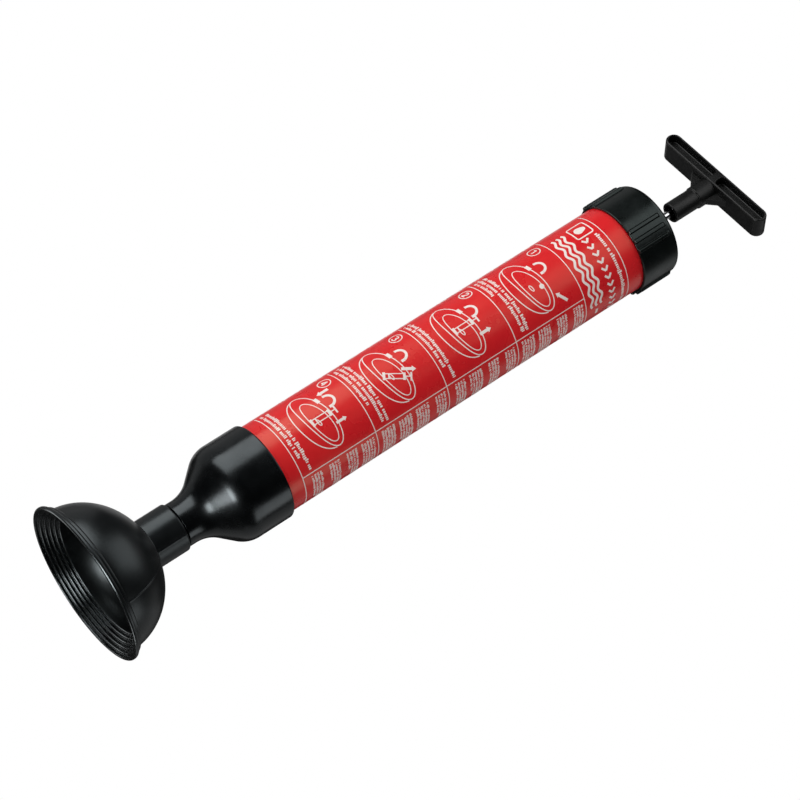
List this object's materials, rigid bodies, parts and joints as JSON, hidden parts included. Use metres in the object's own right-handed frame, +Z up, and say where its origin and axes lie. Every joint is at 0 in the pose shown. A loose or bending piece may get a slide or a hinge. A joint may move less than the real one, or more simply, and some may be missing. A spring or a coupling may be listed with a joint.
{
  "type": "manual drain pump",
  "caption": "Hand force pump for blocked drains: T-handle and rod, red barrel with screw cap, funnel nozzle and wide rubber plunger cup.",
  "frame": {"origin": "centre of the cup's rim, on the plane it stands on", "axes": "+Z up along the barrel's axis, the T-handle's bar along X"},
  "size_m": [0.124, 0.124, 0.5941],
  "materials": {
    "cup_rubber": "black moulded rubber, satin",
    "black_plastic": "black moulded plastic, satin",
    "cap_plastic": "black moulded plastic, fine texture",
    "handle_plastic": "black moulded plastic, grained",
    "red_print": "red film with pale line print",
    "barrel_plastic": "red tube",
    "rod_steel": "bright drawn steel",
    "fastener_steel": "zinc-plated steel",
    "plate_alloy": "stamped aluminium",
    "bush_plastic": "natural acetal",
    "seal_rubber": "black seal rubber",
    "core_plastic": "grey moulded plastic"
  },
  "bodies": {
    "barrel": {"barrel_tube": "barrel_plastic", "label_sleeve": "red_print", "nozzle_funnel": "black_plastic", "funnel_seal_ring": "seal_rubber"},
    "guide": {"rod_guide": "black_plastic", "guide_gasket": "seal_rubber", "bush_retaining_ring": "fastener_steel", "rod_wiper_seal": "seal_rubber", "wiper_retainer": "black_plastic"},
    "cap": {"screw_cap": "cap_plastic"},
    "bush": {"rod_bush": "bush_plastic"},
    "rod": {"piston_rod": "rod_steel", "piston_lock_nut": "fastener_steel", "front_washer": "fastener_steel", "front_plate": "plate_alloy", "lower_cup_seal": "seal_rubber", "piston_core": "core_plastic", "upper_cup_seal": "seal_rubber", "back_plate": "plate_alloy", "back_washer": "fastener_steel", "piston_retaining_ring": "fastener_steel", "bump_stop": "seal_rubber", "t_handle": "handle_plastic", "handle_lock_nut": "fastener_steel"},
    "cup": {"suction_cup": "cup_rubber"}
  },
  "joints": [
    {"name": "cap_lift", "type": "slide", "parent": "barrel", "child": "guide", "axis": [0, 0, 1], "range_m": [0, 0.012]},
    {"name": "cap_turn", "type": "hinge", "parent": "guide", "child": "cap", "pos_m": [0, 0, 0.5], "axis": [0, 0, 1], "range_deg": [0, 1081]},
    {"name": "handle_turn", "type": "hinge", "parent": "guide", "child": "bush", "pos_m": [0, 0, 0.5], "axis": [0, 0, 1], "continuous": true},
    {"name": "pump_stroke", "type": "slide", "parent": "bush", "child": "rod", "axis": [0, 0, 1], "range_m": [-0.017, 0.3]},
    {"name": "cup_pull_off", "type": "slide", "parent": "barrel", "child": "cup", "axis": [0, 0, -1], "range_m": [0, 0.028]}
  ],
  "couplings": [
    {"joint": "cap_turn", "follows": "cap_lift", "rad_per_m": 1570.8}
  ]
}
